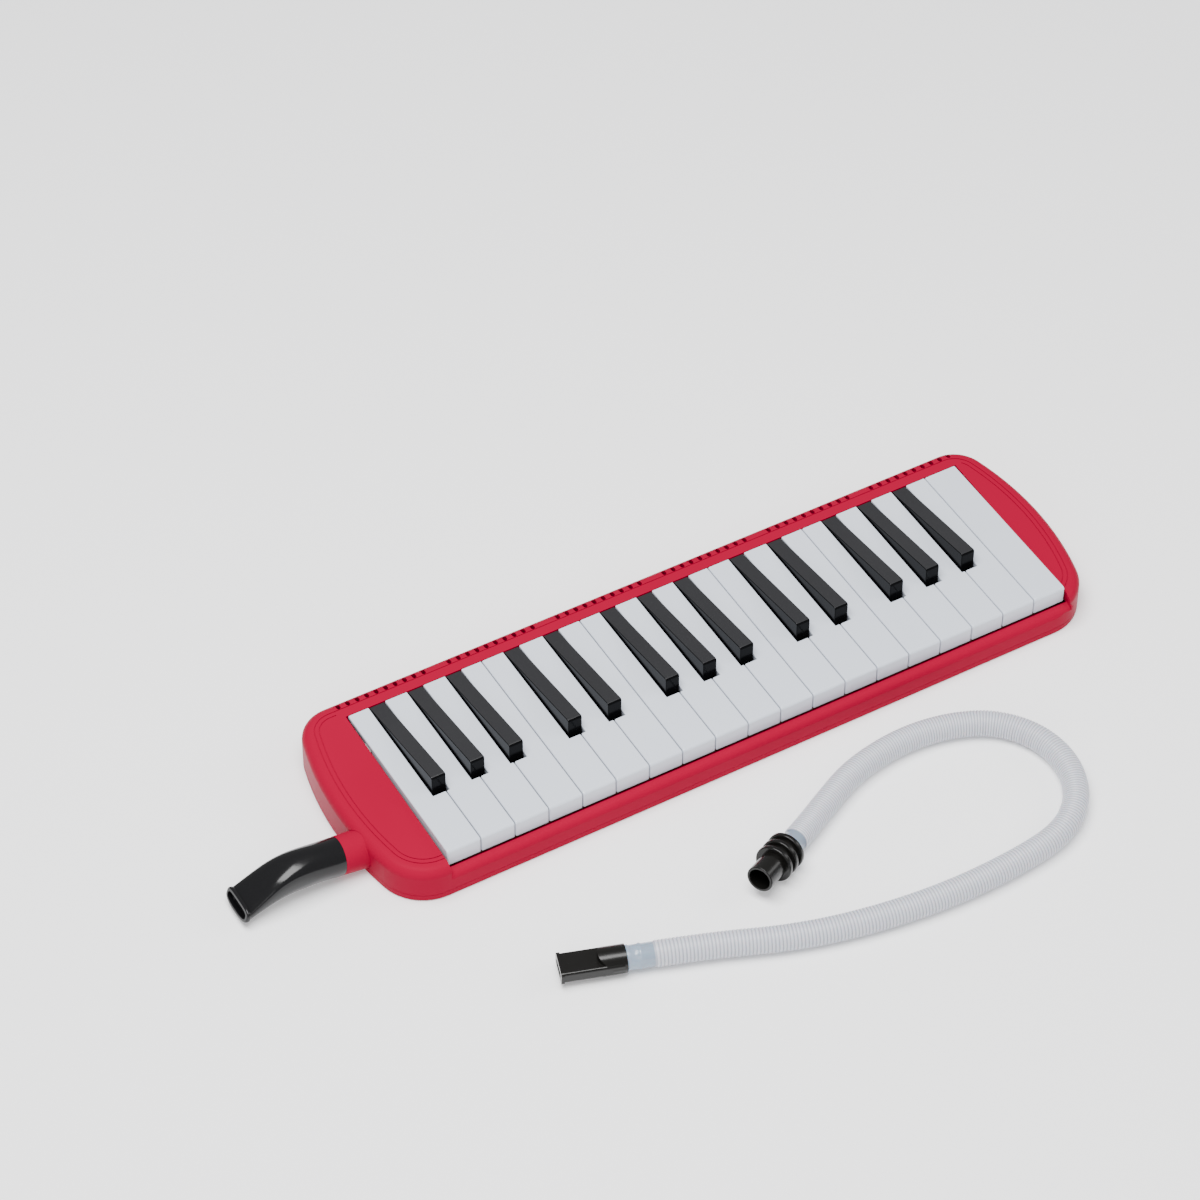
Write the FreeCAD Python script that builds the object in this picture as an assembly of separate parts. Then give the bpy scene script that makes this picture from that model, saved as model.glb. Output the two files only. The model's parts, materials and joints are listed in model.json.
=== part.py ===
import FreeCAD, Part
import math
import os

# 32-key melodica with its short mouthpiece in the socket and its blow hose lying in front.
# Units are millimetres. +X runs along the keyboard to the high notes, +Y to the rear rail, +Z up.
# The origin is the centre of the flat bottom face that the melodica lies on.

Vector = FreeCAD.Vector

# ---- driving dimensions -------------------------------------------------------------------------
WHITE_PITCH = 20.0          # one white key and its gap
WHITE_COUNT = 19
KEY_GAP = 0.5
KEY_LENGTH = 108.3          # visible length of a key
KEY_TOP = 26.0              # height of the white key tops
KEY_FACE = 10.2             # height of a white key's front face
SKIRT = 1.3                 # wall of a key's side
KEY_DECK = 2.0              # thickness of a key's top
SKIRT_END = 82.0            # the side walls stop here, in front of the pivot rod
BLACK_START = 39.8          # front face of a black key, behind the white fronts
BLACK_FRONT_HALF = 4.1      # half width of a black key at its front
BLACK_REAR_HALF = 4.4       # and at its rear
BLACK_NOTCH = 4.9           # half width of the notch left for it in the white keys
NOTCH_FRONT = 37.4          # where that notch begins
BLACK_FRONT_TOP = 36.4
BLACK_REAR_TOP = 25.4       # the top slopes down to the level of the white keys
LEVER = 7.0                 # width of the lever block under each key
LEVER_BOTTOM = 14.2
TAIL_END = 116.5            # rear end of the key levers, under the rear rail
TAIL_TOP = 18.4
PAD_FRONT = 99.8
PAD_REAR = 112.3
PAD_WIDTH = 9.2
PAD_TOP = 13.1
PAD_GAP = 0.05              # a closed pad just clears the chest
PIVOT_Y = 88.0
PIVOT_Z = 17.5
ROD_R = 1.25
BORE_R = 1.31

LEFT_END = 34.0             # case beyond the first key
RIGHT_END = 23.5            # case beyond the last key
FRONT_RAIL = 6.3            # case in front of the key fronts
CASE_DEPTH = 128.5
LEFT_BULGE = 11.0
RIGHT_BULGE = 12.5
FRONT_CORNER = 27.0
REAR_CORNER = 20.0
WALL = 2.3
TOP_Z = 21.6                # height of the case top above the key fronts
TOP_SLOPE = 0.032           # it rises to the rear
RIM_R = 5.5                 # rounding of the rim
SEAM_Z = 4.0                # joint between the bottom cover and the top case
SEAM_GROOVE = 0.12
FLOOR = 2.0
SIDE_GAP = 0.8              # case opening beside the end keys
FRONT_GAP = 1.2
REAR_GAP = 1.1
RAIL_EDGE = 15.5            # height of the front rail beside the key fronts

SLOT_GROUPS = 6
SLOTS_PER_GROUP = 10
SLOT_PITCH = 5.65
SLOT_GROUP_PITCH = 66.3
SLOT_LENGTH = 3.4
SLOT_WIDTH = 2.2
SLOT_Y = 117.4

CHEST_TOP = 11.5            # the wind chest's deck, which the pads close on
CHEST_DECK = 1.6
CHEST_BOTTOM = 4.0
CHEST_FRONT = 54.0
CHEST_REAR = 117.0
CHEST_SIDE = 2.0            # chest beyond the key row at each end
CHEST_WALL = 3.0
CHANNEL_BOTTOM = 6.9
DIVIDER = 2.4
COVER_T = 1.5
GASKET_T = 0.5
PLATE_T = 1.2
PLATE_FRONT = 57.2
PLATE_REAR = 113.8
REED_T = 0.35
REED_WIDTH = 2.3
REED_ROOT = 99.0            # the reeds are riveted here and point to the front
RIVET_R = 0.9

SOCKET_END = Vector(-44.5, 36.0, 12.8)     # mouth of the socket, from the key row's corner
SOCKET_TILT = 8.0           # the socket points up by this angle, degrees
SPIGOT_R = 7.4
SOCKET_BORE_R = 7.46
SOCKET_NECK_R = 6.4
SPIGOT_LENGTH = 16.0
BLOW_R = 3.6                # air passage from the socket into the duct

HOSE_R = 7.0
HOSE_BORE_R = 5.4
LYING = 7.1                 # height of the hose's line where it lies flat
COLLAR_LYING = 7.6          # and where the mouthpiece's collar lifts it
RING_LYING = 10.15          # and where the connector's grip rings lift it
# corner points of the hose's line, from the connector to the mouthpiece, in the frame of the part
HOSE_ROUTE = [
    (-25.5, -130.6, RING_LYING), (-8.1, -121.2, LYING), (13.1, -109.9, LYING), (36.0, -99.0, LYING),
    (68.0, -93.8, LYING), (96.4, -97.4, LYING), (119.0, -108.0, LYING), (133.4, -128.5, LYING),
    (135.6, -153.4, LYING), (125.0, -176.0, LYING), (104.5, -190.4, LYING), (70.0, -195.0, LYING),
    (30.0, -195.5, LYING), (-12.0, -190.5, LYING), (-52.0, -180.5, LYING), (-92.0, -163.6, COLLAR_LYING),
    (-133.0, -149.9, COLLAR_LYING),
]
CORNER_SHARE = 0.45         # share of the shorter run that a corner's arc takes

KEY_ROW = WHITE_PITCH * WHITE_COUNT
CASE_LENGTH = LEFT_END + KEY_ROW + RIGHT_END
# the key row's corner, at the front of the first key, in the frame of the part
ROW_X = LEFT_END - CASE_LENGTH / 2
ROW_Y = FRONT_RAIL - CASE_DEPTH / 2
SKIRT_BOTTOM = KEY_TOP - KEY_FACE
BIG = 600.0


# ---- helpers ------------------------------------------------------------------------------------
def box(x0, x1, y0, y1, z0, z1):
    return Part.makeBox(x1 - x0, y1 - y0, z1 - z0, Vector(x0, y0, z0))


def rod(radius, start, end):
    start = Vector(*start)
    way = Vector(*end) - start
    return Part.makeCylinder(radius, way.Length, start, way)


def tube(outer, inner, start, end):
    return rod(outer, start, end).cut(rod(inner, start, end))


def prism(points, z0, z1):
    """Upright prism over a closed plan outline of (x, y) corners."""
    corners = [Vector(x, y, z0) for x, y in points]
    face = Part.Face(Part.makePolygon(corners + corners[:1]))
    return face.extrude(Vector(0, 0, z1 - z0))


def side_prism(points, x0, x1):
    """Prism along X over a closed side outline of (y, z) corners."""
    corners = [Vector(x0, y, z) for y, z in points]
    face = Part.Face(Part.makePolygon(corners + corners[:1]))
    return face.extrude(Vector(x1 - x0, 0, 0))


def fused(shapes):
    shapes = list(shapes)
    result = shapes[0]
    if len(shapes) > 1:
        result = result.fuse(shapes[1:])
    return result.removeSplitter()


def rounded(shape, radius, wanted):
    """Round the edges that the test picks, by their middle point."""
    edges = [edge for edge in shape.Edges if wanted(edge, edge.CenterOfMass)]
    return shape.makeFillet(radius, edges) if edges else shape


def write(name, shapes, in_row=True):
    """One node: a solid, or a group of separate solids. Most are drawn from the key row's corner."""
    solids = [solid for shape in shapes for solid in shape.Solids]
    group = Part.Compound([solid.copy() for solid in solids])
    if in_row:
        group.translate(Vector(ROW_X, ROW_Y, 0))
    node = group.Solids[0] if len(solids) == 1 else group
    print(f"{name:26s} solids {len(solids):3d} volume {group.Volume / 1000:8.3f} cm3 valid {node.isValid()}")
    node.exportStep(f"parts/{name}.step")


# ---- the row of keys ----------------------------------------------------------------------------
def key_layout():
    """Every key as (note, is black, number of its white key, lane centre, lane width)."""
    keys = []
    first_white = 0
    octave = 3
    while first_white < WHITE_COUNT:
        notes = "f fs g gs a as b" if len(keys) % 12 == 0 else "c cs d ds e"
        if WHITE_COUNT - first_white == 1:
            notes = "c"
        notes = notes.split()
        if notes[0] == "c":
            octave += 1
        whites = sum(len(note) == 1 for note in notes)
        lane = WHITE_PITCH * whites / len(notes) if len(notes) > 1 else WHITE_PITCH * 3 / 5
        white = first_white
        for place, note in enumerate(notes):
            centre = first_white * WHITE_PITCH + (place + 0.5) * lane
            black = len(note) == 2
            keys.append((f"{note}{octave}", black, white, centre, lane))
            if not black:
                white += 1
        first_white += whites
    return keys


KEYS = key_layout()
BLACK_CENTRES = [centre for _, black, _, centre, _ in KEYS if black]


def lever(centre):
    """The hinge block, the tail and the pad carrier under a key."""
    low, high = centre - LEVER / 2, centre + LEVER / 2
    block = box(low, high, SKIRT_END - 1.5, KEY_LENGTH, LEVER_BOTTOM, KEY_TOP - 1)
    tail = box(low, high, KEY_LENGTH - 10, TAIL_END, PAD_TOP, TAIL_TOP)
    carrier = box(centre - PAD_WIDTH / 2, centre + PAD_WIDTH / 2, PAD_FRONT, PAD_REAR, PAD_TOP, LEVER_BOTTOM)
    return [block, tail, carrier]


def pivot_bore(centre):
    reach = WHITE_PITCH
    return rod(BORE_R, (centre - reach, PIVOT_Y, PIVOT_Z), (centre + reach, PIVOT_Y, PIVOT_Z))


def valve_pad(centre):
    """The soft pad under the tail, which closes the key's air hole."""
    low, high = centre - PAD_WIDTH / 2, centre + PAD_WIDTH / 2
    return box(low, high, PAD_FRONT, PAD_REAR, CHEST_TOP + PAD_GAP, PAD_TOP)


def white_plan(number, wall):
    """Plan of a white key with its notches for the black keys, drawn in by a wall."""
    left = number * WHITE_PITCH + KEY_GAP / 2
    right = left + WHITE_PITCH - KEY_GAP
    notch_left, notch_right = left, right
    for centre in BLACK_CENTRES:
        if centre - BLACK_NOTCH < left + 2 and centre + BLACK_NOTCH > left:
            notch_left = centre + BLACK_NOTCH
        if centre - BLACK_NOTCH < right and centre + BLACK_NOTCH > right - 2:
            notch_right = centre - BLACK_NOTCH
    front = wall
    rear = SKIRT_END - wall if wall else KEY_LENGTH
    shoulder = NOTCH_FRONT - wall
    points = [(left + wall, front), (right - wall, front)]
    if notch_right < right:
        points += [(right - wall, shoulder), (notch_right - wall, shoulder)]
    points += [(notch_right - wall, rear), (notch_left + wall, rear)]
    if notch_left > left:
        points += [(notch_left + wall, shoulder), (left + wall, shoulder)]
    return points


def white_key(number, centre):
    left = number * WHITE_PITCH
    body = prism(white_plan(number, 0), SKIRT_BOTTOM, KEY_TOP)
    body = rounded(body, 1.6, lambda edge, mid: mid.y < 0.1 and mid.z > KEY_TOP - 0.1)
    body = rounded(body, 0.8, lambda edge, mid: mid.y < 0.2 and abs(mid.z - (SKIRT_BOTTOM + KEY_TOP) / 2) < 1.5)
    body = rounded(body, 0.6, lambda edge, mid: mid.z > KEY_TOP - 0.01 and 3 < mid.y < KEY_LENGTH - 0.1
                   and left + 1.5 < mid.x < left + WHITE_PITCH - 1.5)
    body = body.cut(prism(white_plan(number, SKIRT), SKIRT_BOTTOM - 1, KEY_TOP - KEY_DECK))
    body = body.cut(box(left - 1, left + WHITE_PITCH + 1, SKIRT_END, BIG, 0, KEY_TOP - KEY_DECK))
    body = fused([body] + lever(centre))
    return [body.cut(pivot_bore(centre)), valve_pad(centre)]


def black_body(wall, z0):
    """A black key's form about x = 0: upright sides and a top sloping to the rear, drawn in by a wall."""
    front, rear = BLACK_START + wall, KEY_LENGTH - wall
    front_half, rear_half = BLACK_FRONT_HALF - wall, BLACK_REAR_HALF - wall
    plan = [(-front_half, front), (front_half, front), (rear_half, rear), (-rear_half, rear)]
    slope = (BLACK_REAR_TOP - BLACK_FRONT_TOP) / (KEY_LENGTH - BLACK_START)
    near, far = front - 5, rear + 5
    above = [(y, BLACK_FRONT_TOP - wall + slope * (y - BLACK_START)) for y in (near, far)]
    return prism(plan, z0, 60).cut(side_prism(above + [(far, 70), (near, 70)], -10, 10))


def black_key(centre):
    bottom = SKIRT_BOTTOM + 0.2
    body = black_body(0, bottom)
    body = rounded(body, 1.3, lambda edge, mid: mid.z > BLACK_FRONT_TOP - 0.1 and mid.y < BLACK_START + 0.1)
    body = rounded(body, 0.45, lambda edge, mid: mid.z > KEY_TOP and edge.Length > 40)
    body = body.cut(black_body(SKIRT + 0.1, bottom - 1).common(box(-BIG, BIG, 0, SKIRT_END - SKIRT, 0, BIG)))
    body = body.cut(box(-WHITE_PITCH, WHITE_PITCH, SKIRT_END, BIG, 0, KEY_TOP - KEY_DECK))
    body.translate(Vector(centre, 0, 0))
    body = fused([body] + lever(centre))
    return [body.cut(pivot_bore(centre)), valve_pad(centre)]


# ---- the case -----------------------------------------------------------------------------------
def case_end(sign, bulge, end_x, inset):
    """Front corner, bulging end and rear corner of the case, as points of three arcs."""
    y0, y1 = -FRONT_RAIL, CASE_DEPTH - FRONT_RAIL
    half, middle = (y1 - y0) / 2, (y0 + y1) / 2
    end_r = (half ** 2 + bulge ** 2) / (2 * bulge)
    centre = Vector(end_x - sign * end_r, middle, 0)

    def corner(radius, y_corner):
        reach = math.sqrt((end_r - radius) ** 2 - (y_corner - middle) ** 2)
        return Vector(centre.x + sign * reach, y_corner, 0)

    def on_arc(around, radius, angle):
        return around + Vector(sign * radius * math.cos(angle), radius * math.sin(angle), 0)

    front = corner(FRONT_CORNER, y0 + FRONT_CORNER)
    rear = corner(REAR_CORNER, y1 - REAR_CORNER)
    low = math.atan2(front.y - middle, abs(front.x - centre.x))
    high = math.atan2(rear.y - middle, abs(rear.x - centre.x))
    front_r, rear_r, radius = FRONT_CORNER - inset, REAR_CORNER - inset, end_r - inset
    quarter = math.pi / 2
    return [
        on_arc(front, front_r, -quarter), on_arc(front, front_r, (low - quarter) / 2), on_arc(front, front_r, low),
        on_arc(centre, radius, (low + high) / 2), on_arc(rear, rear_r, high),
        on_arc(rear, rear_r, (high + quarter) / 2), on_arc(rear, rear_r, quarter),
    ]


def case_block(inset, z0, z1):
    """Upright block over the case's plan outline, drawn in by the inset."""
    right = case_end(1, RIGHT_BULGE, KEY_ROW + RIGHT_END, inset)
    left = case_end(-1, LEFT_BULGE, -LEFT_END, inset)
    edges = []
    for end in (right, left):
        edges += [Part.Arc(end[k], end[k + 1], end[k + 2]).toShape() for k in (0, 2, 4)]
    edges.append(Part.makeLine(right[6], left[6]))
    edges.append(Part.makeLine(left[0], right[0]))
    wire = Part.Wire(Part.__sortEdges__(edges))
    wire.translate(Vector(0, 0, z0))
    return Part.Face(wire).extrude(Vector(0, 0, z1 - z0))


def above_top(drop):
    """Everything above the case's sloping top, lowered by a drop."""
    low, high = -60.0, 200.0
    corners = [(low, TOP_Z - drop + TOP_SLOPE * low), (high, TOP_Z - drop + TOP_SLOPE * high), (high, 90), (low, 90)]
    return side_prism(corners, -BIG, BIG)


def domed_block(inset, drop, radius, z0):
    """The case's outer form, or its cavity, with a rounded rim."""
    block = case_block(inset, z0, 60).cut(above_top(drop))
    top = max(block.Faces, key=lambda face: face.CenterOfMass.z)
    return block.makeFillet(radius, top.Edges)


def opening(z0, z1):
    return box(-SIDE_GAP, KEY_ROW + SIDE_GAP, -FRONT_GAP, KEY_LENGTH + REAR_GAP, z0, z1)


def ring(outer_inset, inner_inset, z0, z1):
    return case_block(outer_inset, z0, z1).cut(case_block(inner_inset, z0 - 1, z1 + 1))


def seam_groove():
    return ring(-1, SEAM_GROOVE, SEAM_Z - SEAM_GROOVE, SEAM_Z + SEAM_GROOVE)


def socket_way():
    tilt = math.radians(SOCKET_TILT)
    return Vector(-math.cos(tilt), 0, math.sin(tilt))


def socket_point(s):
    """A point on the socket's axis, s beyond its mouth."""
    return SOCKET_END + socket_way() * s


def socket_hole():
    """The way through the case's left end for the socket's collar and for its inner tube."""
    return fused([rod(10.8, socket_point(-15.2), socket_point(10)), rod(8.5, socket_point(-17.1), socket_point(0))])


SCREWS_TO_TOP = [(-14.0, 92.0), (-12.0, 14.0), (390.0, 92.0), (388.5, 16.0)]
SCREWS_TO_CHEST = [(x, y) for x in (10.0, 130.0, 250.0, 370.0) for y in (CHEST_FRONT + 1.5, CHEST_REAR - 1.6)]


def front_rail_cut():
    """What the low front rail leaves away in front of the keys, down to its rounded outer edge."""
    wall_y = -FRONT_RAIL
    a, b, c = Vector(0, -4.0, 14.6), Vector(0, -5.6, 13.3), Vector(0, wall_y - 0.01, 11.0)
    edges = [
        Part.makeLine(Vector(0, -FRONT_GAP, RAIL_EDGE), a),
        Part.Arc(a, b, c).toShape(),
        Part.makeLine(c, Vector(0, -20, 11.0)),
        Part.makeLine(Vector(0, -20, 11.0), Vector(0, -20, 40)),
        Part.makeLine(Vector(0, -20, 40), Vector(0, -FRONT_GAP, 40)),
        Part.makeLine(Vector(0, -FRONT_GAP, 40), Vector(0, -FRONT_GAP, RAIL_EDGE)),
    ]
    face = Part.Face(Part.Wire(edges))
    face.translate(Vector(-SIDE_GAP, 0, 0))
    return face.extrude(Vector(KEY_ROW + 2 * SIDE_GAP, 0, 0))


def sound_slots():
    """Six rows of ten short slots along the outer strip of the rear rail."""
    slots = []
    for group in range(SLOT_GROUPS):
        middle = KEY_ROW / 2 + (group - (SLOT_GROUPS - 1) / 2) * SLOT_GROUP_PITCH
        for place in range(SLOTS_PER_GROUP):
            x = middle + (place - (SLOTS_PER_GROUP - 1) / 2) * SLOT_PITCH
            half, radius = SLOT_LENGTH / 2, SLOT_WIDTH / 2
            slots.append(box(x - radius, x + radius, SLOT_Y - half + radius, SLOT_Y + half, 18, 40))
            slots.append(rod(radius, (x, SLOT_Y - half + radius, 18), (x, SLOT_Y - half + radius, 40)))
    return slots


def panel_grooves():
    """Two fine lines round the end panels. The outer one goes on along the rear rail."""
    skin = above_top(0.4)
    both = [ring(6.6, 7.2, 15, 40), ring(9.2, 9.8, 15, 40)]
    behind = box(-SIDE_GAP - 4, KEY_ROW + SIDE_GAP + 4, KEY_LENGTH - 20, KEY_LENGTH + 6, 0, 60)
    both[1] = both[1].cut(behind)
    return [groove.common(skin) for groove in both]


def top_case():
    outer = domed_block(0, 0, RIM_R, SEAM_Z)
    cavity = domed_block(WALL, WALL, RIM_R - 2, -10)
    shell = outer.cut(cavity)
    shell = shell.cut(opening(10, 60))
    land = box(-SIDE_GAP - 1, KEY_ROW + SIDE_GAP + 1, -FRONT_RAIL + 0.5, -FRONT_GAP, RAIL_EDGE - 2.6, RAIL_EDGE + 0.2)
    cheeks = [box(x, x + 1.8, -FRONT_GAP, KEY_LENGTH + REAR_GAP, 15, 24).cut(above_top(1.0))
              for x in (-SIDE_GAP - 1.8, KEY_ROW + SIDE_GAP)]
    posts = [rod(3.8, (x, y, SEAM_Z + 0.2), (x, y, 24)).cut(above_top(1.0)) for x, y in SCREWS_TO_TOP]
    shell = fused([shell, land] + cheeks + posts)
    shell = shell.cut(front_rail_cut())
    pilots = [rod(1.45, (x, y, 0), (x, y, 16)) for x, y in SCREWS_TO_TOP]
    return shell.cut(pilots + sound_slots() + panel_grooves() + [seam_groove(), socket_hole()])


def stop_rail(y0, y1, top):
    """A moulded channel across the bottom cover, which carries a felt strip."""
    outer = box(2, KEY_ROW - 2, y0, y1, FLOOR - 0.5, top)
    return outer.cut(box(3.5, KEY_ROW - 3.5, y0 + 1.5, y1 - 1.5, 0, top - 1.5))


WHITE_STOP = (3.0, 13.0, 10.4)
BLACK_STOP = (42.0, 50.0, 11.3)
FELT_T = 1.4


def bottom_cover():
    shell = case_block(0, 0, SEAM_Z)
    shell = rounded(shell, 1.0, lambda edge, mid: mid.z < 0.01)
    shell = shell.cut(case_block(WALL, FLOOR, SEAM_Z + 1))
    lip = ring(WALL + 0.2, WALL + 1.7, FLOOR - 0.5, SEAM_Z + 3)
    bosses = [rod(4.2, (x, y, FLOOR - 0.5), (x, y, SEAM_Z + 0.2)) for x, y in SCREWS_TO_TOP]
    shell = fused([shell, lip, stop_rail(*WHITE_STOP), stop_rail(*BLACK_STOP)] + bosses)
    holes = [rod(1.45, (x, y, -1), (x, y, 8)) for x, y in SCREWS_TO_TOP + SCREWS_TO_CHEST]
    sinks = [rod(3.0, (x, y, -1), (x, y, 1.2)) for x, y in SCREWS_TO_TOP + SCREWS_TO_CHEST]
    return shell.cut(holes + sinks + [seam_groove(), socket_hole()])


def case_screws():
    screws = []
    for x, y in SCREWS_TO_TOP + SCREWS_TO_CHEST:
        head = rod(2.8, (x, y, 0.2), (x, y, 1.2))
        cross = [box(x - 1.6, x + 1.6, y - 0.3, y + 0.3, 0, 0.7), box(x - 0.3, x + 0.3, y - 1.6, y + 1.6, 0, 0.7)]
        tip = 14.0 if (x, y) in SCREWS_TO_TOP else 9.0
        shank = rod(1.4 if (x, y) in SCREWS_TO_TOP else 1.1, (x, y, 1.2), (x, y, tip))
        screws.append(fused([head, shank]).cut(cross))
    return screws


def felt_strip(stop):
    y0, y1, top = stop
    return box(2, KEY_ROW - 2, y0 + 0.5, y1 - 0.5, top, top + FELT_T)


# ---- the wind chest -----------------------------------------------------------------------------
DUCT = (-20.5, -CHEST_SIDE, 28.0, 66.0, FLOOR, 14.5)
SEAL_T = 1.0
SEAL_Z = 9.5                # height of the socket's axis at the duct


def lane_edges():
    """Where the air channels' dividers stand, with one before the first and one after the last."""
    edges = [centre - lane / 2 for _, _, _, centre, lane in KEYS]
    return edges + [KEYS[-1][3] + KEYS[-1][4] / 2]


def rod_posts():
    """Upright bearers for the pivot rod, between the levers of every fourth pair of keys."""
    places = [edge for number, edge in enumerate(lane_edges()) if number % 4 == 0]
    places = [0.9] + places[1:] + [KEY_ROW - 0.9]
    return [box(x - 1.0, x + 1.0, PIVOT_Y - 3.5, PIVOT_Y + 3.5, CHEST_TOP - 1, PIVOT_Z + 3.2) for x in places]


def wind_chest():
    chest = box(-CHEST_SIDE, KEY_ROW + CHEST_SIDE, CHEST_FRONT, CHEST_REAR, CHEST_BOTTOM, CHEST_TOP)
    inner = (-CHEST_SIDE + CHEST_WALL, KEY_ROW + CHEST_SIDE - CHEST_WALL, CHEST_FRONT + CHEST_WALL,
             CHEST_REAR - CHEST_WALL)
    x0, x1, y0, y1, z0, z1 = DUCT
    duct = box(x0, x1, y0, y1, z0, z1)
    chest = fused([chest, duct] + rod_posts())
    cuts = [box(*inner, CHEST_BOTTOM - 1, CHANNEL_BOTTOM)]
    for _, _, _, centre, lane in KEYS:
        half = (lane - DIVIDER) / 2
        cuts.append(box(centre - half, centre + half, inner[2] + 2, inner[3] - 2, CHANNEL_BOTTOM - 1,
                        CHEST_TOP - CHEST_DECK))
        cuts.append(box(centre - 3.7, centre + 3.7, PAD_FRONT + 1.7, PAD_REAR - 1.8, CHANNEL_BOTTOM, CHEST_TOP + 1))
    cuts.append(box(x0 + 1.5, x1 - 1.5, y0 + 1.5, y1 - 1.5, z0 + 1.5, z1 - 1.5))
    cuts.append(box(x1 - 2, inner[0] + 1, inner[2] + 0.5, y1 - 2, CHEST_BOTTOM + 0.4, CHANNEL_BOTTOM - PLATE_T))
    cuts.append(rod(BLOW_R, (x0 - 1, SOCKET_END.y, SEAL_Z), (x0 + 3, SOCKET_END.y, SEAL_Z)))
    cuts.append(rod(ROD_R + 0.02, (-10, PIVOT_Y, PIVOT_Z), (KEY_ROW + 10, PIVOT_Y, PIVOT_Z)))
    cuts += [rod(1.15, (x, y, 0), (x, y, 9.5)) for x, y in SCREWS_TO_CHEST]
    cuts += [rod(0.85, (x, y, CHANNEL_BOTTOM - 1), (x, y, CHANNEL_BOTTOM + 2.5)) for x, y in plate_screw_places()]
    return chest.cut(cuts)


def chest_rim(z0, z1, solid):
    rim = box(-CHEST_SIDE, KEY_ROW + CHEST_SIDE, CHEST_FRONT, CHEST_REAR, z0, z1)
    if not solid:
        rim = rim.cut(box(-CHEST_SIDE + CHEST_WALL, KEY_ROW + CHEST_SIDE - CHEST_WALL, CHEST_FRONT + CHEST_WALL,
                          CHEST_REAR - CHEST_WALL, z0 - 1, z1 + 1))
    return rim.cut([rod(1.2, (x, y, 0), (x, y, 9.5)) for x, y in SCREWS_TO_CHEST])


def plate_span(half):
    """Left and right edges of the low-note or high-note reed plate."""
    middle = lane_edges()[16]
    return (1.2, middle - 0.1) if half == 0 else (middle + 0.1, KEY_ROW - 1.2)


def plate_screw_places():
    places = []
    edges = lane_edges()
    for number in (1, 8, 15, 17, 24, 31):
        places += [(edges[number], y) for y in (PLATE_FRONT + 2.2, PLATE_REAR - 2.6)]
    return places


def reed_length(number):
    return 38.0 - 0.62 * number


def reed_plate(half):
    x0, x1 = plate_span(half)
    plate = box(x0, x1, PLATE_FRONT, PLATE_REAR, CHANNEL_BOTTOM - PLATE_T, CHANNEL_BOTTOM)
    cuts = [rod(0.85, (x, y, 0), (x, y, 9)) for x, y in plate_screw_places() if x0 < x < x1]
    for number in range(16 * half, 16 * half + 16):
        centre = KEYS[number][3]
        slot_half = REED_WIDTH / 2 + 0.1
        cuts.append(box(centre - slot_half, centre + slot_half, REED_ROOT - 3 - reed_length(number), REED_ROOT - 3, 0, 9))
        cuts.append(rod(RIVET_R, (centre, REED_ROOT, 0), (centre, REED_ROOT, 9)))
    return plate.cut(cuts)


def reeds(half):
    tongues = []
    bottom = CHANNEL_BOTTOM - PLATE_T
    for number in range(16 * half, 16 * half + 16):
        centre = KEYS[number][3]
        blade = box(centre - REED_WIDTH / 2, centre + REED_WIDTH / 2, REED_ROOT - 2.8 - reed_length(number),
                    REED_ROOT + 2.2, bottom - REED_T, bottom)
        tongues.append(blade.cut(rod(RIVET_R, (centre, REED_ROOT, 0), (centre, REED_ROOT, 9))))
    return tongues


def reed_rivets():
    rivets = []
    bottom = CHANNEL_BOTTOM - PLATE_T
    for _, _, _, centre, _ in KEYS:
        shank = rod(RIVET_R, (centre, REED_ROOT, bottom - REED_T), (centre, REED_ROOT, CHANNEL_BOTTOM))
        head = rod(1.0 + RIVET_R / 2, (centre, REED_ROOT, bottom - REED_T - 0.5), (centre, REED_ROOT, bottom - REED_T))
        rivets.append(fused([shank, head]))
    return rivets


def plate_screws():
    bottom = CHANNEL_BOTTOM - PLATE_T
    return [fused([rod(1.7, (x, y, bottom - 0.9), (x, y, bottom)), rod(0.8, (x, y, bottom), (x, y, CHANNEL_BOTTOM + 2.2))])
            for x, y in plate_screw_places()]


def key_springs():
    """The springs between the rear rail and the key tails, as plain sleeves of their outer size."""
    y = 114.0
    top = TOP_Z + TOP_SLOPE * y - WALL - 0.15
    return [tube(2.2, 1.6, (centre, y, TAIL_TOP), (centre, y, top)) for _, _, _, centre, _ in KEYS]


# ---- socket and short mouthpiece ----------------------------------------------------------------
def mouth_socket():
    collar = Part.makeCone(10.7, 10.4, 15, socket_point(-15), socket_way())
    inner = rod(8.4, socket_point(-17), socket_point(-14))
    neck = rod(SOCKET_NECK_R, socket_point(-30), socket_point(-16))
    seat_x = DUCT[0] - SEAL_T
    body = fused([collar, inner, neck]).cut(box(seat_x, 50, 0, 80, -20, 60))
    bore = rod(SOCKET_BORE_R, socket_point(-SPIGOT_LENGTH), socket_point(5))
    passage = rod(BLOW_R, socket_point(-40), socket_point(0))
    return body.cut([bore, passage])


def inlet_seal():
    y, seat_x = SOCKET_END.y, DUCT[0]
    return tube(SOCKET_NECK_R - 0.2, BLOW_R + 0.6, (seat_x - SEAL_T, y, SEAL_Z), (seat_x, y, SEAL_Z))


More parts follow.
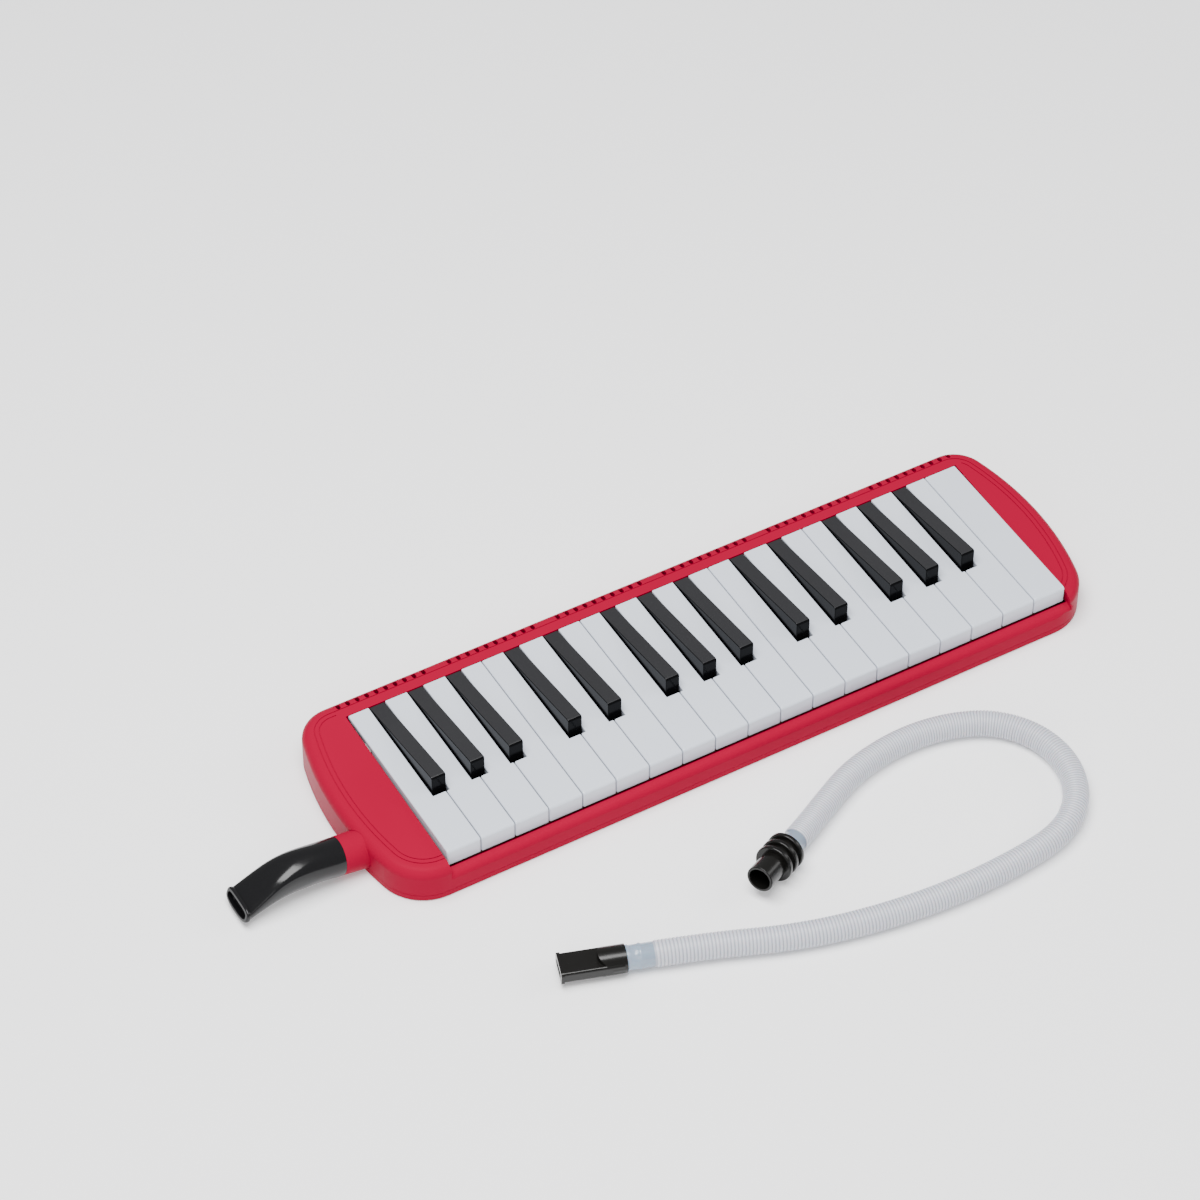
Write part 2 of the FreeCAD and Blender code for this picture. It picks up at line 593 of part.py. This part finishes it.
# The short mouthpiece beyond the socket: (distance out, height, half width, height above and below the line,
# squareness of the upper side). It starts round and ends wide and flat on top, with lips that face a little upward.
MOUTHPIECE_STATIONS = [
    (0.0, 0.0, 10.3, 10.3, 10.3, 2.0), (7.0, 1.0, 10.3, 10.3, 10.3, 2.0), (14.0, 2.1, 10.2, 10.2, 10.2, 2.0),
    (21.0, 3.0, 10.1, 9.4, 10.0, 2.3), (28.0, 3.0, 10.0, 8.4, 9.2, 2.9), (35.5, 1.7, 10.1, 7.1, 7.6, 3.6),
    (43.5, -0.7, 10.4, 5.5, 5.8, 4.0), (50.5, -3.3, 10.7, 4.7, 4.8, 4.0), (56.7, -5.7, 10.9, 4.2, 4.05, 4.0),
]
MOUTHPIECE_SLOPES = {0: SOCKET_TILT, 6: -6.0, 7: 8.0, 8: 20.0}
MOUTHPIECE_WALL = 1.3
LIP_GROWTH = 0.65
SECTION_POINTS = 28


def mouthpiece_section(number, thin, grow=0.0, shift=0.0):
    """One section of the mouthpiece, drawn in by a wall or grown for the lip."""
    out, rise, half_width, above, below, square = MOUTHPIECE_STATIONS[number]
    before = MOUTHPIECE_STATIONS[max(number - 1, 0)]
    after = MOUTHPIECE_STATIONS[min(number + 1, len(MOUTHPIECE_STATIONS) - 1)]
    slope = math.atan2(after[1] - before[1], after[0] - before[0])
    if number in MOUTHPIECE_SLOPES:
        slope = math.radians(MOUTHPIECE_SLOPES[number])
    way = Vector(-math.cos(slope), 0, math.sin(slope))
    up = way.cross(Vector(0, 1, 0))
    up = up if up.z > 0 else up * -1
    centre = SOCKET_END + Vector(-out, 0, rise) + way * shift
    points = []
    for step in range(SECTION_POINTS):
        angle = 2 * math.pi * step / SECTION_POINTS
        c, s = math.cos(angle), math.sin(angle)
        power = 2 / square if s > 0 else 2 / min(square, 2.5)
        height = (above if s > 0 else below) - thin + grow
        across = math.copysign(abs(c) ** power, c) * (half_width - thin + grow)
        points.append(centre + Vector(0, across, 0) + up * math.copysign(abs(s) ** power, s) * height)
    curve = Part.BSplineCurve()
    curve.interpolate(points, PeriodicFlag=True)
    return Part.Wire(curve.toShape()), way


def mouthpiece_loft(thin):
    wires = [mouthpiece_section(number, thin)[0] for number in range(len(MOUTHPIECE_STATIONS))]
    return Part.makeLoft(wires, True, False)


def short_mouthpiece():
    last = len(MOUTHPIECE_STATIONS) - 1
    bead_wire, way = mouthpiece_section(last, 0, LIP_GROWTH, -0.8)
    bead = Part.Face(bead_wire).extrude(way * 2.6)
    bead = rounded(bead, 0.9, lambda edge, mid: edge.Length > 20)
    mouth = Part.Face(mouthpiece_section(last, MOUTHPIECE_WALL, 0, -1.0)[0]).extrude(way * 5)
    spigot = rod(SPIGOT_R, socket_point(-SPIGOT_LENGTH + 0.3), socket_point(1))
    spigot_bore = rod(SPIGOT_R - 1.8, socket_point(-SPIGOT_LENGTH - 1), socket_point(3))
    inside = mouthpiece_loft(MOUTHPIECE_WALL).cut(rod(20, socket_point(-5), socket_point(1.8)))
    body = fused([mouthpiece_loft(0), spigot, bead])
    return body.cut(inside).cut(mouth).cut(spigot_bore)


# ---- the blow hose ------------------------------------------------------------------------------
def hose_path():
    """Straight runs joined by tangent arcs. Returns the edges and the radii of the arcs."""
    points = [Vector(*point) for point in HOSE_ROUTE]
    edges, radii = [], []
    start = points[0]
    for before, here, after in zip(points, points[1:], points[2:]):
        back, ahead = (before - here).normalize(), (after - here).normalize()
        half_turn = (math.pi - back.getAngle(ahead)) / 2
        reach = CORNER_SHARE * min((before - here).Length, (after - here).Length)
        radius = reach / math.tan(half_turn)
        middle = here + (back + ahead).normalize() * (radius / math.cos(half_turn) - radius)
        into, out = here + back * reach, here + ahead * reach
        edges.append(Part.LineSegment(start, into).toShape())
        edges.append(Part.Arc(into, middle, out).toShape())
        radii.append(radius)
        start = out
    edges.append(Part.LineSegment(start, points[-1]).toShape())
    return edges, radii


def swept(edges, radius):
    start = Vector(*HOSE_ROUTE[0])
    way = Vector(*HOSE_ROUTE[1]) - start
    circle = Part.Wire(Part.makeCircle(radius, start, way))
    return Part.Wire(edges).makePipeShell([circle], True, True)


def hose():
    edges, radii = hose_path()
    length = sum(edge.Length for edge in edges)
    body = swept(edges, HOSE_R).cut(swept(edges, HOSE_BORE_R))
    area = math.pi * (HOSE_R ** 2 - HOSE_BORE_R ** 2)
    print("hose radii", [round(radius, 1) for radius in radii])
    print(f"hose length {length:.1f}, volume {body.Volume:.0f}, section x length {area * length:.0f}")
    return body


RING_RADIUS = 10.4
RING_WIDTH = 2.85
RING_PITCH = 6.0


def hose_connector():
    """A spigot for the socket, three grip rings, and the face that the hose meets."""
    start = Vector(*HOSE_ROUTE[0])
    way = (start - Vector(*HOSE_ROUTE[1])).normalize()

    def piece(radius, s0, s1):
        return rod(radius, start + way * s0, start + way * s1)

    rings = [piece(RING_RADIUS, number * RING_PITCH, number * RING_PITCH + RING_WIDTH) for number in range(3)]
    rings = [rounded(ring, 0.8, lambda edge, mid: edge.Length > 60) for ring in rings]
    tip = 2 * RING_PITCH + RING_WIDTH + 14.0
    body = fused([piece(8.2, 0, 2 * RING_PITCH + 1), piece(SPIGOT_R, 2 * RING_PITCH, tip)] + rings)
    body = rounded(body, 0.5, lambda edge, mid: (mid - start).dot(way) > tip - 0.1)
    return body.cut(piece(SPIGOT_R - 1.4, -1, tip + 1))


def hose_mouthpiece():
    """A round collar, stepped down in a half circle to a flat mouth with a small lip."""
    start = Vector(*HOSE_ROUTE[-1])
    way = (start - Vector(*HOSE_ROUTE[-2])).normalize()
    side = way.cross(Vector(0, 0, 1))
    radius = COLLAR_LYING

    def block(s0, s1, half_width, half_height):
        corner = start + way * s0 - side * half_width - Vector(0, 0, half_height)
        across, ahead = side * 2 * half_width, way * (s1 - s0)
        base = Part.makePolygon([corner, corner + ahead, corner + ahead + across, corner + across, corner])
        return Part.Face(base).extrude(Vector(0, 0, 2 * half_height))

    def along(edge, mid):
        return len(edge.Vertexes) == 2 and abs(edge.tangentAt(edge.FirstParameter).dot(way)) > 0.99

    step = start + way * 7.0
    dome = fused([block(0, 7.0, radius + 1, radius + 1), rod(radius, step - Vector(0, 0, 9), step + Vector(0, 0, 9))])
    collar = rod(radius, start, start + way * 16).common(dome)
    flat = rounded(block(1.5, 33.5, 7.5, 3.5), 1.4, along)
    lip = rounded(block(32.6, 34.4, 8.1, 4.0), 1.8, along)
    slot = rounded(block(10, 45, 5.6, 1.8), 1.2, along)
    bore = rod(5.4, start - way, start + way * 12)
    return fused([collar, flat, lip]).cut([slot, bore])


# ---- every node ---------------------------------------------------------------------------------
def main():
    for note, black, number, centre, _ in KEYS:
        if black:
            write(f"black_key_{note}", black_key(centre))
        else:
            write(f"white_key_{note}", white_key(number, centre))
    write("top_case", [top_case()])
    write("bottom_cover", [bottom_cover()])
    write("case_screws", case_screws())
    write("white_key_stop_felt", [felt_strip(WHITE_STOP)])
    write("black_key_stop_felt", [felt_strip(BLACK_STOP)])
    write("wind_chest", [wind_chest()])
    write("chest_gasket", [chest_rim(CHEST_BOTTOM - GASKET_T, CHEST_BOTTOM, False)])
    write("chest_cover", [chest_rim(FLOOR, CHEST_BOTTOM - GASKET_T, True)])
    write("low_reed_plate", [reed_plate(0)])
    write("high_reed_plate", [reed_plate(1)])
    write("low_reeds", reeds(0))
    write("high_reeds", reeds(1))
    write("reed_rivets", reed_rivets())
    write("reed_plate_screws", plate_screws())
    pivot = rod(ROD_R, (-0.5, PIVOT_Y, PIVOT_Z), (KEY_ROW + 0.5, PIVOT_Y, PIVOT_Z))
    write("key_pivot_rod", [pivot])
    write("key_springs", key_springs())
    write("mouth_socket", [mouth_socket()])
    write("inlet_seal", [inlet_seal()])
    write("short_mouthpiece", [short_mouthpiece()])
    write("hose", [hose()], in_row=False)
    write("hose_connector", [hose_connector()], in_row=False)
    write("hose_mouthpiece", [hose_mouthpiece()], in_row=False)


os.makedirs("parts", exist_ok=True)
main()
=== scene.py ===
import json
import math

import bpy
from mathutils import Matrix, Vector


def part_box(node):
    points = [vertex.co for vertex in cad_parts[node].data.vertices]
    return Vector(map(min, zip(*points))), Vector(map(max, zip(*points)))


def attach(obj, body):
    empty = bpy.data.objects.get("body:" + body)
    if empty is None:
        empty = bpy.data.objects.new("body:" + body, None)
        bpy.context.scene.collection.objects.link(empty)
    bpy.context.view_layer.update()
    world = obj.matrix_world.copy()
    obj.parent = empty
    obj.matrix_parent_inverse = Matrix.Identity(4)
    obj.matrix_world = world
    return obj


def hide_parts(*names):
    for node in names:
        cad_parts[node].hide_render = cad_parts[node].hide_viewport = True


# A 32-key melodica with its short mouthpiece and its blow hose. Metres, +X to the high notes, +Y to the rear.

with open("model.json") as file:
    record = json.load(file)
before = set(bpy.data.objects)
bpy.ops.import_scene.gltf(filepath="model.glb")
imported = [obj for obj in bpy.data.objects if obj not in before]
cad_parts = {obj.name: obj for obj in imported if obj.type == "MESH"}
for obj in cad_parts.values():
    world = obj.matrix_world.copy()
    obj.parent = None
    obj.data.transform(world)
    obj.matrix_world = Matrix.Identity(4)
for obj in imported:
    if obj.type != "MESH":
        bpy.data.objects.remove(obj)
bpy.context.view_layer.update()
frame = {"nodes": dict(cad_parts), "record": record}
NODES = frame["nodes"]
MM = 0.001

# ---- camera -------------------------------------------------------------------------------------
AZIMUTH, ELEVATION, ROLL = math.radians(-30.29), math.radians(45.98), math.radians(0.394)
LENS = 130.5
CAMERA_OFFSET = Vector((77.9, 129.1, 2215.0)) * MM      # right, up and back from the key row's corner
KEY_ROW_CORNER = Vector((-184.75, -57.95, 25.3)) * MM


def make_camera():
    back = Vector((math.sin(AZIMUTH) * math.cos(ELEVATION), -math.cos(AZIMUTH) * math.cos(ELEVATION),
                   math.sin(ELEVATION)))
    right = Vector((math.cos(AZIMUTH), math.sin(AZIMUTH), 0.0))
    up = back.cross(right)
    level_right, level_up = right, up
    right = level_right * math.cos(ROLL) + level_up * math.sin(ROLL)
    up = level_up * math.cos(ROLL) - level_right * math.sin(ROLL)
    place = KEY_ROW_CORNER + right * CAMERA_OFFSET.x + up * CAMERA_OFFSET.y + back * CAMERA_OFFSET.z
    data = bpy.data.cameras.new("camera")
    data.lens = LENS
    data.sensor_width = 36.0
    data.clip_end = 20.0
    camera = bpy.data.objects.new("camera", data)
    bpy.context.scene.collection.objects.link(camera)
    turn = Matrix((right, up, back)).transposed().to_4x4()
    camera.matrix_world = Matrix.Translation(place) @ turn
    bpy.context.scene.camera = camera


make_camera()


# ---- meshes -------------------------------------------------------------------------------------
def link(name, mesh):
    obj = bpy.data.objects.new(name, mesh)
    bpy.context.scene.collection.objects.link(obj)
    return obj


def mesh_object(name, verts, faces, smooth=True):
    mesh = bpy.data.meshes.new(name)
    mesh.from_pydata([tuple(v) for v in verts], [], faces)
    mesh.update()
    for polygon in mesh.polygons:
        polygon.use_smooth = smooth
    return link(name, mesh)


def nurbs_points(name, route, resolution):
    """The points of a smooth curve that the route controls."""
    curve = bpy.data.curves.new(name, "CURVE")
    curve.dimensions = "3D"
    curve.resolution_u = resolution
    spline = curve.splines.new("NURBS")
    spline.points.add(len(route) - 1)
    for point, place in zip(spline.points, route):
        point.co = (*place, 1.0)
    spline.order_u = 3
    spline.use_endpoint_u = True
    obj = link(name, curve)
    bpy.context.view_layer.update()
    mesh = bpy.data.meshes.new_from_object(obj.evaluated_get(bpy.context.evaluated_depsgraph_get()))
    points = [v.co.copy() for v in mesh.vertices]
    bpy.data.objects.remove(obj)
    bpy.data.meshes.remove(mesh)
    return points


def measured(points):
    """Distance along the line at each of its points."""
    distances = [0.0]
    for before, here in zip(points, points[1:]):
        distances.append(distances[-1] + (here - before).length)
    return distances


def walk(points, steps):
    """Places and directions at the given distances along the line."""
    distances = measured(points)
    places, ways, at = [], [], 0
    for step in steps:
        while at < len(points) - 2 and distances[at + 1] < step:
            at += 1
        span = distances[at + 1] - distances[at]
        share = min(max((step - distances[at]) / span, 0.0), 1.0)
        places.append(points[at].lerp(points[at + 1], share))
        before, after = max(at - 1, 0), min(at + 2, len(points) - 1)
        ways.append((points[after] - points[before]).normalized())
    return places, ways


# ---- the blow hose ------------------------------------------------------------------------------
HOSE_R = 7.0 * MM
BORE_R = 5.4 * MM
VALLEY_R = 6.3 * MM
RIB_FIRST, RIB_LAST = 1.5 * MM, 1.95 * MM       # the ribs stand closer at the connector's end
CUFF_R = 6.45 * MM
NEAR_CUFF, FAR_CUFF = 9.0 * MM, 14.5 * MM       # at the connector and at the mouthpiece
BAND = 7.4 * MM                                 # a raised band on the mouthpiece's cuff
CUFF_RIM = 0.35 * MM                            # how far the cuffs' rims and the band stand out
# Material slots along the hose; the VALLEY rows take a darker colour, painted shade in the grooves between
# the ribs.
CREST, CUFF, VALLEY = 0, 1, 2
HOSE_SIDES = 40
BORE_RINGS = 240
HOSE_ROUTE = [
    (-0.0255, -0.1306, 0.01015), (-0.0081, -0.1212, 0.0071), (0.0131, -0.1099, 0.0071),
    (0.0360, -0.0990, 0.0071), (0.0680, -0.0938, 0.0071), (0.0964, -0.0974, 0.0071),
    (0.1190, -0.1080, 0.0071), (0.1334, -0.1285, 0.0071), (0.1356, -0.1534, 0.0071),
    (0.1250, -0.1760, 0.0071), (0.1045, -0.1904, 0.0071), (0.0700, -0.1950, 0.0071),
    (0.0300, -0.1955, 0.0071), (-0.0120, -0.1905, 0.0071), (-0.0520, -0.1805, 0.0071),
    (-0.0920, -0.1636, 0.0076), (-0.1330, -0.1499, 0.0076),
]


def hose_profile(length):
    """(distance, radius, part) along the hose: a smooth cuff at each end and fine ribs between them."""
    rim = CUFF_RIM
    rows = [(0.0, CUFF_R + rim, CUFF), (1.2 * MM, CUFF_R + rim, CUFF), (1.5 * MM, CUFF_R, CUFF),
            (NEAR_CUFF - 0.1 * MM, CUFF_R, CUFF)]
    at, end = NEAR_CUFF, length - FAR_CUFF
    while at < end - RIB_LAST:
        pitch = RIB_FIRST + (RIB_LAST - RIB_FIRST) * at / length
        # Each rib's groove and its lower flank are VALLEY rows, which carry the painted shade.
        rows += [(at + share * pitch, radius, part) for share, radius, part in (
            (0.0, VALLEY_R, VALLEY), (0.16, HOSE_R - 0.2 * MM, CREST), (0.36, HOSE_R, CREST),
            (0.6, HOSE_R, CREST), (0.8, HOSE_R - 0.2 * MM, VALLEY))]
        at += pitch
    band = length - BAND
    rows += [(end, VALLEY_R, VALLEY), (end + 0.2 * MM, CUFF_R, CUFF), (band - 0.9 * MM, CUFF_R, CUFF),
             (band - 0.5 * MM, CUFF_R + rim, CUFF), (band + 0.5 * MM, CUFF_R + rim, CUFF),
             (band + 0.9 * MM, CUFF_R, CUFF), (length - 1.9 * MM, CUFF_R, CUFF),
             (length - 1.6 * MM, CUFF_R + rim, CUFF), (length, CUFF_R + rim, CUFF)]
    return rows


def make_hose():
    line = nurbs_points("hose_line", HOSE_ROUTE, 24)
    length = measured(line)[-1]
    rows = hose_profile(length)
    bore = [(length * k / BORE_RINGS, BORE_R, CREST) for k in range(BORE_RINGS + 1)]
    places, ways = walk(line, [row[0] for row in rows])
    bore_places, bore_ways = walk(line, [row[0] for row in bore])
    rows += bore[::-1]
    places += bore_places[::-1]
    ways += bore_ways[::-1]
    verts, faces = [], []
    for (_, radius, _), place, way in zip(rows, places, ways):
        side = way.cross(Vector((0, 0, 1))).normalized()
        up = side.cross(way)
        for k in range(HOSE_SIDES):
            angle = 2 * math.pi * k / HOSE_SIDES
            verts.append(place + (side * math.cos(angle) + up * math.sin(angle)) * radius)
    count = len(rows)
    for ring in range(count):
        a, b = ring * HOSE_SIDES, (ring + 1) % count * HOSE_SIDES
        for k in range(HOSE_SIDES):
            n = (k + 1) % HOSE_SIDES
            faces.append((a + k, b + k, b + n, a + n))
    hose = mesh_object("blow_hose_tube", verts, faces)
    for polygon in hose.data.polygons:
        polygon.material_index = rows[polygon.index // HOSE_SIDES][2]
    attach(hose, "blow_hose")
    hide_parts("hose")
    return hose


hose = make_hose()


# ---- materials ----------------------------------------------------------------------------------
PATCH_GRAIN = 14.0


def material(name, colour, patches, rough, spread, grain, bump, bump_size, bump_grain, sockets=()):
    """A finish whose colour drifts to that of its patches, with uneven roughness and a fine relief.

    The grains are noise scales per metre, and bump_size is the height of the relief in millimetres.
    """
    mat = bpy.data.materials.new(name)
    mat.use_nodes = True
    tree = mat.node_tree
    shader = next(n for n in tree.nodes if n.type == "BSDF_PRINCIPLED")
    places = tree.nodes.new("ShaderNodeTexCoord")
    noise = tree.nodes.new("ShaderNodeTexNoise")
    noise.inputs["Scale"].default_value = grain
    noise.inputs["Detail"].default_value = 4.0
    tree.links.new(places.outputs["Object"], noise.inputs["Vector"])
    ramp = tree.nodes.new("ShaderNodeMapRange")
    ramp.inputs["To Min"].default_value = max(rough - spread, 0.02)
    ramp.inputs["To Max"].default_value = min(rough + spread, 1.0)
    tree.links.new(noise.outputs["Fac"], ramp.inputs["Value"])
    tree.links.new(ramp.outputs["Result"], shader.inputs["Roughness"])
    blend = tree.nodes.new("ShaderNodeMix")
    blend.data_type = "RGBA"
    blend.inputs["A"].default_value = (*colour, 1.0)
    blend.inputs["B"].default_value = (*patches, 1.0)
    broad = tree.nodes.new("ShaderNodeTexNoise")
    broad.inputs["Scale"].default_value = PATCH_GRAIN
    broad.inputs["Detail"].default_value = 2.0
    tree.links.new(places.outputs["Object"], broad.inputs["Vector"])
    tree.links.new(broad.outputs["Fac"], blend.inputs["Factor"])
    tree.links.new(blend.outputs["Result"], shader.inputs["Base Color"])
    relief = tree.nodes.new("ShaderNodeTexNoise")
    relief.inputs["Scale"].default_value = bump_grain
    relief.inputs["Detail"].default_value = 3.0
    tree.links.new(places.outputs["Object"], relief.inputs["Vector"])
    dents = tree.nodes.new("ShaderNodeBump")
    dents.inputs["Strength"].default_value = bump
    dents.inputs["Distance"].default_value = bump_size * MM
    tree.links.new(relief.outputs["Fac"], dents.inputs["Height"])
    tree.links.new(dents.outputs["Normal"], shader.inputs["Normal"])
    for socket, value in dict(sockets).items():
        shader.inputs[socket].default_value = value
    return mat


MILKY = {"Subsurface Weight": 0.15, "Subsurface Scale": 0.002, "Transmission Weight": 0.1}
CLEAR = {"Subsurface Weight": 0.15, "Subsurface Scale": 0.002, "Transmission Weight": 0.15}
METAL = {"Metallic": 1.0}

CASE_RED = material("case_red", (0.295, 0.002, 0.027), (0.27, 0.0015, 0.023), 0.34, 0.05, 900, 0.5, 0.02,
                    1600, {"IOR": 1.1, "Specular Tint": (1.0, 0.25, 0.32, 1.0)})
KEY_WHITE = material("key_white", (0.595, 0.63, 0.695), (0.57, 0.61, 0.68), 0.20, 0.03, 700, 0.25, 0.01, 900)
KEY_BLACK = material("key_black", (0.002, 0.002, 0.0025), (0.003, 0.003, 0.0035), 0.16, 0.04, 900, 0.3, 0.02,
                     900, {"IOR": 1.13})
# The black keys' upward faces: a real rougher satin finish, and a lighter colour that is painted sheen.
KEY_BLACK_TOP_SHEEN = material("key_black_top_sheen", (0.010, 0.010, 0.0115), (0.015, 0.015, 0.0165), 0.36, 0.06, 900,
                         0.8, 0.04, 1500)
BLACK_GLOSS = material("black_gloss", (0.004, 0.004, 0.0045), (0.006, 0.006, 0.0065), 0.17, 0.04, 250, 0.25,
                       0.06, 60, {"IOR": 1.38})
BLACK_SATIN = material("black_satin", (0.004, 0.0038, 0.0034), (0.007, 0.0066, 0.006), 0.22, 0.05, 500, 0.4,
                       0.03, 500, {"IOR": 1.36})
HOSE_MILK = material("hose_milk", (0.56, 0.58, 0.64), (0.60, 0.61, 0.67), 0.3, 0.05, 500, 0.3, 0.02, 700,
                     MILKY)
# Darker than the crests: painted shade in the hose's grooves.
HOSE_VALLEY_SHADE = material("hose_valley_painted_shade", (0.33, 0.345, 0.40), (0.36, 0.37, 0.42), 0.4, 0.05, 500, 0.3, 0.02, 700)
CUFF_CLEAR = material("cuff_clear", (0.26, 0.33, 0.42), (0.30, 0.37, 0.46), 0.16, 0.04, 300, 0.3, 0.03, 200,
                      CLEAR)
CHEST_PLASTIC = material("chest_plastic", (0.60, 0.61, 0.60), (0.56, 0.57, 0.56), 0.45, 0.06, 500, 0.4, 0.03,
                         500)
FELT = material("felt", (0.30, 0.02, 0.02), (0.36, 0.04, 0.03), 0.95, 0.04, 1500, 1.0, 0.25, 1800,
                {"Sheen Weight": 0.5, "Sheen Roughness": 0.5})
PAD_RUBBER = material("pad_rubber", (0.55, 0.52, 0.46), (0.50, 0.47, 0.41), 0.8, 0.06, 900, 0.8, 0.1, 1200)
PLATE_METAL = material("plate_metal", (0.70, 0.71, 0.73), (0.64, 0.65, 0.67), 0.32, 0.08, 300, 0.3, 0.02, 900,
                       METAL)
REED_METAL = material("reed_metal", (0.78, 0.60, 0.28), (0.70, 0.53, 0.24), 0.25, 0.06, 600, 0.3, 0.01, 900,
                      METAL)
STEEL = material("steel", (0.58, 0.58, 0.59), (0.50, 0.50, 0.52), 0.3, 0.08, 600, 0.3, 0.01, 900, METAL)
SEAL_RUBBER = material("seal_rubber", (0.03, 0.03, 0.03), (0.04, 0.04, 0.04), 0.7, 0.06, 900, 0.5, 0.05, 900)

FINISHES = {
    "case_plastic": CASE_RED, "white_key": KEY_WHITE, "black_key": KEY_BLACK, "black_gloss": BLACK_GLOSS,
    "black_satin": BLACK_SATIN, "hose_plastic": HOSE_MILK, "chest_plastic": CHEST_PLASTIC, "felt": FELT,
    "reed_plate_metal": PLATE_METAL, "reed_metal": REED_METAL, "screw_steel": STEEL,
    "seal_rubber": SEAL_RUBBER,
}


def dress(obj, mat):
    obj.data.materials.clear()
    obj.data.materials.append(mat)


for entry in frame["record"]["subparts"]:
    dress(NODES[entry["node"]], FINISHES[entry["material_slot"]])
for finish in (HOSE_MILK, CUFF_CLEAR, HOSE_VALLEY_SHADE):         # CREST, CUFF, VALLEY
    hose.data.materials.append(finish)


# ---- the key springs ----------------------------------------------------------------------------
COIL_TURNS = 6
COIL_STEPS = 20
WIRE_R = 0.25 * MM
WIRE_SIDES = 6
CLOSED_END = 0.06               # share of a coil's height that its first and last steps jump


def key_nodes():
    return [NODES[name] for name in sorted(NODES) if "_key_" in name and "felt" not in name]


def make_springs():
    """One coil spring over each key's tail."""
    low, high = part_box("key_springs")
    radius = (high.y - low.y) / 2 - WIRE_R
    middle_y = (low.y + high.y) / 2
    centres = sorted({round(v.co.x, 5) for v in NODES["key_springs"].data.vertices})
    groups = [[centres[0]]]
    for x in centres[1:]:
        if x - groups[-1][0] > 3 * radius:
            groups.append([])
        groups[-1].append(x)
    verts, faces = [], []
    for group in groups:
        middle = Vector(((group[0] + group[-1]) / 2, middle_y, 0))
        first = len(verts)
        count = COIL_TURNS * COIL_STEPS
        for k in range(count + 1):
            angle = 2 * math.pi * k / COIL_STEPS
            share = k / count
            if 0 < k < count:
                share = CLOSED_END + (1 - 2 * CLOSED_END) * share
            z = low.z + WIRE_R + (high.z - low.z - 2 * WIRE_R) * share
            out = Vector((math.cos(angle), math.sin(angle), 0))
            centre = middle + out * radius + Vector((0, 0, z))
            for side in range(WIRE_SIDES):
                turn = 2 * math.pi * side / WIRE_SIDES
                verts.append(centre + (out * math.cos(turn) + Vector((0, 0, 1)) * math.sin(turn)) * WIRE_R)
        for k in range(count):
            a, b = first + k * WIRE_SIDES, first + (k + 1) * WIRE_SIDES
            for side in range(WIRE_SIDES):
                n = (side + 1) % WIRE_SIDES
                faces.append((a + side, a + n, b + n, b + side))
        faces.append(tuple(first + side for side in range(WIRE_SIDES))[::-1])
        faces.append(tuple(first + count * WIRE_SIDES + side for side in range(WIRE_SIDES)))
    springs = mesh_object("key_spring_coils", verts, faces)
    dress(springs, STEEL)
    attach(springs, "case")
    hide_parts("key_springs")


make_springs()

# ---- valve pads and the satin tops of the black keys, lightened with a painted sheen ------------
BODY, PAD, SATIN_TOP_SHEEN = 0, 1, 2                      # material slots of a key
PAD_LOW, PAD_MIDDLE, PAD_HIGH = 11.5 * MM, 13.05 * MM, 13.11 * MM
SATIN_SHEEN_FROM = 25.2 * MM                              # no black key's top dips below this height
UPWARD = 0.9


def key_part(key, polygon):
    """The material slot of one face. The valve pads are the lowest part of each key's tail."""
    heights = [key.data.vertices[v].co.z for v in polygon.vertices]
    if PAD_LOW < min(heights) and max(heights) < PAD_HIGH and polygon.center.z < PAD_MIDDLE:
        return PAD
    # Upward faces of the black keys take the lighter top colour, painted sheen on a real satin finish.
    if key.name.startswith("black") and polygon.normal.z > UPWARD and polygon.center.z > SATIN_SHEEN_FROM:
        return SATIN_TOP_SHEEN
    return BODY


for key in key_nodes():
    for finish in (PAD_RUBBER, KEY_BLACK_TOP_SHEEN):
        key.data.materials.append(finish)
    for polygon in key.data.polygons:
        polygon.material_index = key_part(key, polygon)


# ---- floor and light ----------------------------------------------------------------------------
FLOOR_HALF = 6.0
FLOOR_GAP = 0.0002                              # the floor lies this far under the lowest piece
SKY_COLOUR, SKY_STRENGTH = (0.97, 0.98, 1.0, 1.0), 0.45
LIGHT_AIM = (0, -0.05, 0)
# name, place, width and depth, power in watts
LIGHTS = [
    ("overhead", (-0.4, -0.18, 1.8), (1.5, 1.0), 76),
    ("front_left", (-1.3, -1.3, 0.9), (0.9, 0.7), 8),
    ("right", (1.4, -0.6, 0.9), (0.8, 0.8), 9),
]


def make_floor():
    corners = [(-FLOOR_HALF, -FLOOR_HALF, 0), (FLOOR_HALF, -FLOOR_HALF, 0), (FLOOR_HALF, FLOOR_HALF, 0),
               (-FLOOR_HALF, FLOOR_HALF, 0)]
    floor = mesh_object("floor", corners, [(0, 1, 2, 3)], smooth=False)
    floor.location.z = -FLOOR_GAP
    dress(floor, material("floor_white", (0.93, 0.93, 0.935), (0.92, 0.92, 0.925), 0.7, 0.03, 30, 0.05, 0.02,
                          30, {"Specular IOR Level": 0.2, "Emission Color": (1.0, 1.0, 1.0, 1.0),
                               "Emission Strength": 0.2}))


def area_light(name, place, size, power):
    data = bpy.data.lights.new(name, "AREA")
    data.shape = "RECTANGLE"
    data.size, data.size_y = size
    data.energy = power
    light = bpy.data.objects.new(name, data)
    bpy.context.scene.collection.objects.link(light)
    light.location = place
    light.rotation_euler = (Vector(LIGHT_AIM) - Vector(place)).to_track_quat("-Z", "Y").to_euler()


def make_light():
    world = bpy.data.worlds.new("studio")
    world.use_nodes = True
    sky = world.node_tree.nodes["Background"]
    sky.inputs["Color"].default_value = SKY_COLOUR
    sky.inputs["Strength"].default_value = SKY_STRENGTH
    bpy.context.scene.world = world
    for light in LIGHTS:
        area_light(*light)


make_floor()
make_light()
